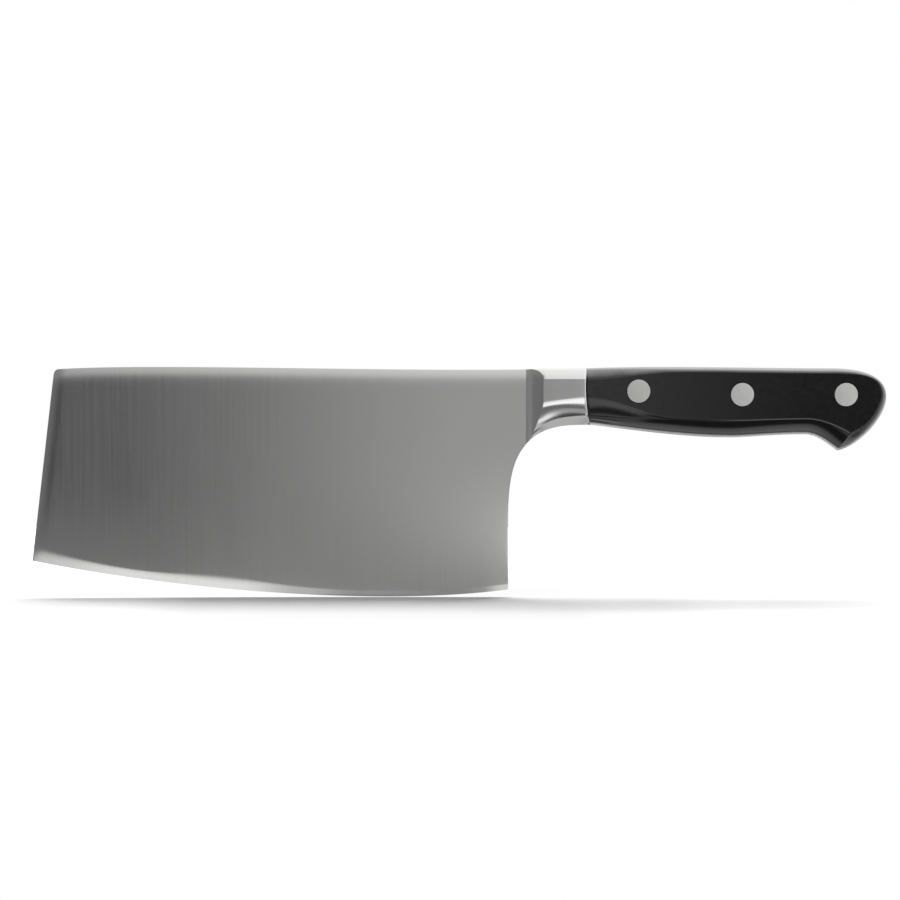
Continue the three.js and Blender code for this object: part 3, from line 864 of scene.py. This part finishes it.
class Tree:
    """A tree of shading nodes, with a short call for each kind of step."""

    def __init__(self, tree):
        self.nodes = tree.nodes
        self.link = tree.links.new

    def give(self, value, socket):
        """Links a value that other nodes make, or sets a constant one on the socket itself."""
        if isinstance(value, (int, float)):
            socket.default_value = value
        else:
            self.link(value, socket)

    def axes(self, vector):
        node = self.nodes.new("ShaderNodeSeparateXYZ")
        self.link(vector, node.inputs["Vector"])
        return node.outputs

    def noise(self, scale, stretch, detail):
        """A noise in the object's own space, stretched along its axes."""
        space = self.nodes.new("ShaderNodeTexCoord")
        mapping = self.nodes.new("ShaderNodeMapping")
        mapping.inputs["Scale"].default_value = stretch
        texture = self.nodes.new("ShaderNodeTexNoise")
        texture.inputs["Scale"].default_value = scale
        texture.inputs["Detail"].default_value = detail
        self.link(space.outputs["Object"], mapping.inputs["Vector"])
        self.link(mapping.outputs["Vector"], texture.inputs["Vector"])
        return texture.outputs["Fac"]

    def ranged(self, value, start, end, low, high, kind="LINEAR"):
        node = self.nodes.new("ShaderNodeMapRange")
        node.interpolation_type = kind
        node.inputs["From Min"].default_value = start
        node.inputs["From Max"].default_value = end
        node.inputs["To Min"].default_value = low
        node.inputs["To Max"].default_value = high
        self.link(value, node.inputs["Value"])
        return node.outputs["Result"]

    def smooth_step(self, value, start, end, low, high):
        return self.ranged(value, start, end, low, high, "SMOOTHSTEP")

    def maths(self, operation, a, b=None):
        node = self.nodes.new("ShaderNodeMath")
        node.operation = operation
        self.give(a, node.inputs[0])
        if b is not None:
            self.give(b, node.inputs[1])
        return node.outputs["Value"]

    def times(self, a, b):
        return self.maths("MULTIPLY", a, b)

    def larger(self, a, b):
        return self.maths("MAXIMUM", a, b)

    def blended(self, factor, a, b):
        node = self.nodes.new("ShaderNodeMix")
        node.data_type = "FLOAT"
        self.link(factor, node.inputs["Factor"])
        self.give(a, node.inputs["A"])
        self.give(b, node.inputs["B"])
        return node.outputs["Result"]

    def tinted(self, factor, dark, light):
        """A colour between two, of which the first may come from other nodes."""
        node = self.nodes.new("ShaderNodeMix")
        node.data_type = "RGBA"
        if isinstance(dark, tuple):
            node.inputs["A"].default_value = (*dark, 1)
        else:
            self.link(dark, node.inputs["A"])
        node.inputs["B"].default_value = (*light, 1)
        self.link(factor, node.inputs["Factor"])
        return node.outputs["Result"]

    def bumped(self, value, distance, strength):
        node = self.nodes.new("ShaderNodeBump")
        node.inputs["Distance"].default_value = distance
        node.inputs["Strength"].default_value = strength
        self.link(value, node.inputs["Height"])
        return node.outputs["Normal"]

    def grey_ramp(self, value, stops):
        """Brightness along a value, from stops of place and brightness."""
        first, last = stops[0][0], stops[-1][0]
        brightest = max(brightness for _, brightness in stops)
        ramp = self.nodes.new("ShaderNodeValToRGB")
        ramp.color_ramp.interpolation = "EASE"
        marks = ramp.color_ramp.elements
        marks[0].position, marks[1].position = 0, 1
        for place, _ in stops[1:-1]:
            marks.new((place - first) / (last - first))
        for mark, (_, brightness) in zip(marks, stops):
            mark.color = (*[brightness / brightest] * 3, 1)
        self.link(self.ranged(value, first, last, 0, 1), ramp.inputs["Fac"])
        return self.times(ramp.outputs["Color"], brightest)


def new_material(name):
    material = bpy.data.materials.new(name)
    material.use_nodes = True
    return material, Tree(material.node_tree)


# Materials

# The middle part of a noise, where nearly all of its values lie
NOISE_RANGE = 0.3, 0.7
BUMP_STRENGTH = 0.1

STEEL_LINE_DETAIL = 4
STEEL_CLOUDS = 40, (1, 1, 0.6), 3
BRUSHING_DEPTH = 0.000001


def steel(name, colour, contrast, roughness, spread, grain, stretch, anisotropy):
    """Brushed steel: fine lines along the brushing, broad faint clouds, both in colour and roughness."""
    material, tree = new_material(name)
    shader = tree.nodes["Principled BSDF"]
    shader.inputs["Metallic"].default_value = 1
    shader.inputs["Anisotropic"].default_value = anisotropy
    tangent = tree.nodes.new("ShaderNodeTangent")
    tangent.direction_type = "UV_MAP"
    tangent.uv_map = "side_view"
    tree.link(tangent.outputs["Tangent"], shader.inputs["Tangent"])
    lines = tree.noise(grain, stretch, STEEL_LINE_DETAIL)
    clouds = tree.noise(*STEEL_CLOUDS)
    both = tree.times(tree.maths("ADD", lines, clouds), 0.5)
    dark = tuple(c * (1 - contrast) for c in colour)
    light = tuple(c * (1 + contrast) for c in colour)
    shade = tree.tinted(tree.ranged(both, *NOISE_RANGE, 0, 1), dark, light)
    tree.link(shade, shader.inputs["Base Color"])
    dullness = tree.ranged(both, *NOISE_RANGE, roughness - spread, roughness + spread)
    tree.link(dullness, shader.inputs["Roughness"])
    tree.link(tree.bumped(lines, BRUSHING_DEPTH, BUMP_STRENGTH), shader.inputs["Normal"])
    return material


PLASTIC_DARK = (0.0025, 0.0025, 0.0026)
PLASTIC_LIGHT = (0.005, 0.005, 0.0052)
PLASTIC_SHEEN = 0.55
PLASTIC_CLOUDS = 90, (1, 1, 1), 4
PLASTIC_GRAIN = 700, (1, 1, 1), 3
PLASTIC_ROUGHNESS = 0.11, 0.16
PLASTIC_GRAIN_DEPTH = 0.000003

# Painted highlight, a grey laid into the black where the plastic's sheen shows on shoulders and butt: how
# far a face looks up or back where it starts and where it is full or gone
PAINTED_HIGHLIGHT_GREY = (0.3, 0.3, 0.3)
SHOULDER_LOOKS_UP = 0.2, 0.7
TOP_LOOKS_UP = 0.9, 0.99
BUTT_LOOKS_BACK = 0.35, 0.8
HIGHLIGHT_BEHIND_JOINT = 0.3
HIGHLIGHT_AT_BUTT = 0.8


def black_plastic():
    """Moulded black plastic: faint clouds, a fine grain, and a grey painted highlight on shoulders and
    butt.
    """
    material, tree = new_material("handle_black")
    shader = tree.nodes["Principled BSDF"]
    shader.inputs["Specular IOR Level"].default_value = PLASTIC_SHEEN
    clouds = tree.noise(*PLASTIC_CLOUDS)
    black = tree.tinted(clouds, PLASTIC_DARK, PLASTIC_LIGHT)

    geometry = tree.nodes.new("ShaderNodeNewGeometry")
    looks = tree.axes(geometry.outputs["Normal"])
    place = tree.axes(geometry.outputs["Position"])
    # Painted highlight: grey on shoulders that look up, strongest just behind the joint, and on the butt's
    # faces that look back
    shoulder = tree.smooth_step(looks["Z"], *SHOULDER_LOOKS_UP, 0, 1)
    beside_top = tree.smooth_step(looks["Z"], *TOP_LOOKS_UP, 1, 0)
    joint = (ZERO_X + BOLSTER_REAR) * MM
    near = tree.smooth_step(place["X"], joint, joint + TOP_ROUND_REACH * MM, 1, HIGHLIGHT_BEHIND_JOINT)
    painted_highlight = tree.times(tree.times(shoulder, beside_top), near)
    butt = tree.smooth_step(looks["X"], *BUTT_LOOKS_BACK, 0, HIGHLIGHT_AT_BUTT)
    painted_highlight = tree.times(tree.larger(painted_highlight, butt), clouds)
    tree.link(tree.tinted(painted_highlight, black, PAINTED_HIGHLIGHT_GREY), shader.inputs["Base Color"])

    grain = tree.noise(*PLASTIC_GRAIN)
    tree.link(tree.ranged(grain, *NOISE_RANGE, *PLASTIC_ROUGHNESS), shader.inputs["Roughness"])
    tree.link(tree.bumped(grain, PLASTIC_GRAIN_DEPTH, BUMP_STRENGTH), shader.inputs["Normal"])
    return material


blade_steel = steel(
    "blade_satin_steel", colour=(0.55, 0.55, 0.545), contrast=0.04, roughness=0.18, spread=0.02,
    grain=1200, stretch=(1, 1, 0.015), anisotropy=0.3)
bolster_steel = steel(
    "bolster_polished_steel", colour=(0.68, 0.68, 0.675), contrast=0.03, roughness=0.14, spread=0.02,
    grain=900, stretch=(0.05, 1, 1), anisotropy=0.0)
rivet_steel = steel(
    "rivet_steel", colour=(0.69, 0.69, 0.68), contrast=0.05, roughness=0.34, spread=0.03,
    grain=1500, stretch=(1, 1, 0.1), anisotropy=0.0)
handle_black = black_plastic()

# The eleven pieces

piece("blade", blade_bm(), blade_steel, "blade_steel", "blade_with_tang")
for label, side in (("left", -1), ("right", 1)):
    piece("bolster_cheek_" + label, bolster_bm(side), bolster_steel, "bolster_steel", "bolster_" + label)
    piece("handle_scale_" + label, scale_bm(side), handle_black, "handle_plastic", "scale_" + label)
for label, x, z in rivet_places():
    post, sleeve = rivet_profiles(x)
    rivet = "rivet_" + label
    piece(rivet + "_left", lathe(post, x, z, -1), rivet_steel, "rivet_metal", rivet + "_post")
    piece(rivet + "_right", lathe(sleeve, x, z, 1), rivet_steel, "rivet_metal", rivet + "_sleeve")


# What bare metal mirrors. Places across are X as the camera sees it, in metres at the knife.
# The studio has its dark end on the left and its pale end on the right
STUDIO_ACROSS = [(-1, 0.28), (-0.6, 0.25), (-0.35, 0.25), (-0.22, 0.05), (-0.14, 0.05), (-0.06, 0.31),
                 (0.03, 0.88), (0.09, 0.14), (0.15, 0.14), (0.28, 0.9), (1, 1)]

# The softbox above it: the heights where it starts and is full, and its light from left to right
SOFTBOX_RISE = 0.11, 0.2
SOFTBOX_ACROSS = -0.3, 0.05
SOFTBOX_LIGHT = 0.38, 1.2

# Where the cards on the floor change over, across
BLADE_TO_BOLSTER = 0.021, 0.026
BOLSTER_TO_HANDLE = 0.0455, 0.049
HANDLE_TO_OPEN = 0.15, 0.18
OPEN_FLOOR = 1.1

# Close to the joint the bolster's cards reach further back
JOINT_SHIFT = 0.0045
JOINT_SHIFT_AWAY = 0.045, 0.055

# Beside the blade: the cards under the cutting edge by distance, how bright they are across, and how much
# further from the knife they lie at the front, where the edge is high
CARDS_BY_EDGE = [(0, 0.1), (0.0006, 0.1), (0.0015, 1), (0.01, 1), (0.045, 0)]
EDGE_ACROSS = [(-0.15, 1.05), (-0.12, 1.3), (-0.08, 1.35), (-0.056, 0.8), (-0.035, 0.5), (0, 0.42),
               (0.008, 0.52), (0.0165, 1.1)]
EDGE_FRONT_ACROSS = -0.16, -0.07
EDGE_FRONT_WIDENING = 2.4

# The floor close to the blade is more even than the studio, and never darker than its least light
FLOOR_ACROSS = [(-0.16, 0.28), (-0.05, 0.4), (0.008, 0.37), (0.017, 0.5)]
FLOOR_LEAST = 0.27
EVEN_AWAY = 0.05, 0.42
EVEN_SHARE = 0.85, 0.15

# Beside the bolster: cards by distance, which slant nearer towards the joint, a pale streak, and one card
# for the facet below
CARDS_BY_BOLSTER = [(0, 0.06), (0.041, 0.06), (0.049, 0.44), (0.065, 0.44),
                    (0.077, 0.14), (0.112, 0.14), (0.128, 1.5), (0.4, 1.5), (0.44, 0.43)]
SLANT_ACROSS = 0.035, 0.046
SLANT = 0.62
STREAK_START = 0.041, 0.049
STREAK_END = 0.065, 0.077
STREAK_ACROSS = 0.0375, 0.043
STREAK_LIGHT = 1.25
FACET_LIGHT = 0.62
FACET_AWAY = 0.0185, 0.0215

# Beside the handle: cards by distance, a bright one for the ridge along the belly, and one at the joint
CARDS_BY_HANDLE = [(0, 0.08), (0.01, 0.08), (0.022, 0.65), (0.08, 0.65), (0.1, 0.06), (0.165, 0.06),
                   (0.185, 0.8), (0.33, 0.8), (0.36, 0.2)]
CARD_BY_RIDGE = [(0.09, 0), (0.11, 2.5), (0.16, 2.5), (0.18, 0)]
RIDGE_START = 0.085, 0.1
RIDGE_END = 0.12, 0.135
JOINT_CARD_ACROSS = 0.056, 0.064
JOINT_CARD_AWAY = 0.016, 0.022


def mirrored_by_blade(tree, across, away):
    widening = tree.smooth_step(across, *EDGE_FRONT_ACROSS, EDGE_FRONT_WIDENING, 1)
    by_edge = tree.grey_ramp(tree.maths("DIVIDE", away, widening), CARDS_BY_EDGE)
    by_edge = tree.times(by_edge, tree.grey_ramp(across, EDGE_ACROSS))
    evenness = tree.ranged(away, *EVEN_AWAY, *EVEN_SHARE)
    studio = tree.grey_ramp(across, STUDIO_ACROSS)
    shaded = tree.blended(evenness, studio, tree.grey_ramp(across, FLOOR_ACROSS))
    return tree.larger(shaded, tree.larger(by_edge, FLOOR_LEAST))


def mirrored_by_bolster(tree, across, away):
    slanted = tree.maths("DIVIDE", away, tree.smooth_step(across, *SLANT_ACROSS, 1, SLANT))
    streak = tree.times(tree.smooth_step(slanted, *STREAK_START, 0, 1),
                        tree.smooth_step(slanted, *STREAK_END, 1, 0))
    streak = tree.times(streak, tree.smooth_step(across, *STREAK_ACROSS, 0, STREAK_LIGHT))
    by_side = tree.larger(tree.grey_ramp(slanted, CARDS_BY_BOLSTER), streak)
    return tree.larger(by_side, tree.smooth_step(away, *FACET_AWAY, FACET_LIGHT, 0))


def mirrored_by_handle(tree, across, away):
    ridge = tree.times(tree.grey_ramp(away, CARD_BY_RIDGE), tree.smooth_step(across, *RIDGE_START, 0, 1))
    ridge = tree.times(ridge, tree.smooth_step(across, *RIDGE_END, 1, 0))
    by_side = tree.larger(tree.grey_ramp(away, CARDS_BY_HANDLE), ridge)
    by_joint = tree.times(tree.smooth_step(across, *JOINT_CARD_ACROSS, FACET_LIGHT, 0),
                          tree.smooth_step(away, *JOINT_CARD_AWAY, 1, 0))
    return tree.larger(by_side, by_joint)


def mirrored_floor(tree, along, away):
    """How bright the floor is in a mirror, by the place along the knife and the distance away from it."""
    across = tree.maths("DIVIDE", along, tree.maths("ADD", away, VIEW_DISTANCE))
    shift = tree.smooth_step(away, *JOINT_SHIFT_AWAY, JOINT_SHIFT, 0)
    past_joint = tree.smooth_step(tree.maths("SUBTRACT", across, shift), *BOLSTER_TO_HANDLE, 0, 1)
    beside = tree.blended(past_joint, mirrored_by_bolster(tree, across, away),
                          mirrored_by_handle(tree, across, away))
    beside = tree.blended(tree.smooth_step(across, *HANDLE_TO_OPEN, 0, 1), beside, OPEN_FLOOR)
    past_blade = tree.smooth_step(across, *BLADE_TO_BOLSTER, 0, 1)
    return tree.blended(past_blade, mirrored_by_blade(tree, across, away), beside)


# Camera

VIEW_CENTRE = Vector((-0.0031, 0, 0.0521))
VIEW_WIDTH = 0.3195
VIEW_DISTANCE = 1.0
VIEW_ELEVATION = math.radians(2)
SENSOR = 36


def view_from_side():
    camera = bpy.data.cameras.new("camera")
    camera.sensor_width = SENSOR
    camera.lens = SENSOR * VIEW_DISTANCE / VIEW_WIDTH
    eye = new_object("camera", camera)
    to_eye = Vector((0, -math.cos(VIEW_ELEVATION), math.sin(VIEW_ELEVATION)))
    eye.location = VIEW_CENTRE + VIEW_DISTANCE * to_eye
    eye.rotation_euler = (math.pi / 2 - VIEW_ELEVATION, 0, 0)
    bpy.context.scene.camera = eye


# Floor

FLOOR_WIDTH = 0.6
FLOOR_DEPTH = 0.4
FLOOR_GAP = 0.0002
FLOOR_PAINT = (0.8, 0.8, 0.8)

# How far the floor is lifted towards white for the camera: along X, which is painted light that pales the
# lamp's shadow towards both ends and under the handle, and far from the knife
FLOOR_LIFT = [(-0.17, 0.2), (-0.12, 0.2), (-0.085, 0.04), (-0.05, 0.02), (0.035, 0.02), (0.06, 0.1),
              (0.1, 0.26), (0.17, 0.26)]
FAR_FROM_ENDS = 0.2
FAR_REACH = 0.06, 0.2
FAR_LIFT = 0.6


def floor_material():
    """White paint, which shows the cards and the studio to mirrored rays."""
    material, tree = new_material("floor_white")
    tree.nodes.remove(tree.nodes["Principled BSDF"])
    space = tree.nodes.new("ShaderNodeTexCoord")
    place = tree.axes(space.outputs["Object"])
    away = tree.maths("ABSOLUTE", place["Y"])
    path = tree.nodes.new("ShaderNodeLightPath")

    paint = tree.nodes.new("ShaderNodeBsdfDiffuse")
    paint.inputs["Color"].default_value = (*FLOOR_PAINT, 1)
    past_ends = tree.maths("SUBTRACT", tree.maths("ABSOLUTE", place["X"]), FAR_FROM_ENDS)
    far_lift = tree.smooth_step(tree.larger(away, past_ends), *FAR_REACH, 0, FAR_LIFT)
    # Painted light: the lift along X pales the lamp's shadow at the ends and under the handle
    pale = tree.larger(tree.grey_ramp(place["X"], FLOOR_LIFT), far_lift)
    lift = tree.nodes.new("ShaderNodeEmission")
    tree.link(tree.times(path.outputs["Is Camera Ray"], pale), lift.inputs["Strength"])
    lit = tree.nodes.new("ShaderNodeAddShader")
    tree.link(paint.outputs["BSDF"], lit.inputs[0])
    tree.link(lift.outputs["Emission"], lit.inputs[1])

    mirrored_light = tree.nodes.new("ShaderNodeEmission")
    tree.link(mirrored_floor(tree, place["X"], away), mirrored_light.inputs["Strength"])
    seen = tree.nodes.new("ShaderNodeMixShader")
    tree.link(path.outputs["Is Glossy Ray"], seen.inputs["Fac"])
    tree.link(lit.outputs["Shader"], seen.inputs[1])
    tree.link(mirrored_light.outputs["Emission"], seen.inputs[2])
    tree.link(seen.outputs["Shader"], tree.nodes["Material Output"].inputs["Surface"])
    return material


def floor():
    mesh = bpy.data.meshes.new("floor")
    bm = bmesh.new()
    corners = [(-1, -1), (1, -1), (1, 1), (-1, 1)]
    bm.faces.new([bm.verts.new((FLOOR_WIDTH * x, FLOOR_DEPTH * y, -FLOOR_GAP)) for x, y in corners])
    bm.to_mesh(mesh)
    bm.free()
    made = new_object("floor", mesh)
    mesh.materials.append(floor_material())


# World and lamp

SKY = 0.4
LAMP_PLACE = (-0.05, 0.9, 2.2)
LAMP_WIDTH = 3
LAMP_DEPTH = 1.35
LAMP_POWER = 66


def world():
    """White for the camera, the studio and its softbox for mirrored rays, an even sky for all others."""
    studio_world = bpy.data.worlds.new("studio")
    bpy.context.scene.world = studio_world
    studio_world.use_nodes = True
    tree = Tree(studio_world.node_tree)
    space = tree.nodes.new("ShaderNodeTexCoord")
    place = tree.axes(space.outputs["Generated"])
    studio = tree.grey_ramp(place["X"], STUDIO_ACROSS)
    softbox = tree.smooth_step(place["Z"], *SOFTBOX_RISE, 0, 1)
    softbox_light = tree.smooth_step(place["X"], *SOFTBOX_ACROSS, *SOFTBOX_LIGHT)
    mirrored_sky = tree.blended(softbox, studio, softbox_light)
    path = tree.nodes.new("ShaderNodeLightPath")
    light = tree.blended(path.outputs["Is Glossy Ray"], SKY, mirrored_sky)
    background = tree.nodes["Background"]
    background.inputs["Color"].default_value = (1, 1, 1, 1)
    tree.link(tree.blended(path.outputs["Is Camera Ray"], light, 1), background.inputs["Strength"])


def lamp():
    """A large soft lamp above and behind the knife, turned to its foot."""
    light = bpy.data.lights.new("rear_softbox", "AREA")
    light.shape = "RECTANGLE"
    light.size = LAMP_WIDTH
    light.size_y = LAMP_DEPTH
    light.energy = LAMP_POWER
    made = new_object("rear_softbox", light)
    made.location = LAMP_PLACE
    made.rotation_euler = (-Vector(LAMP_PLACE)).to_track_quat("-Z", "Y").to_euler()
    made.visible_camera = False
    made.visible_glossy = False


floor()
world()
lamp()
view_from_side()
bpy.context.scene.view_settings.view_transform = "Standard"

bpy.context.view_layer.update()
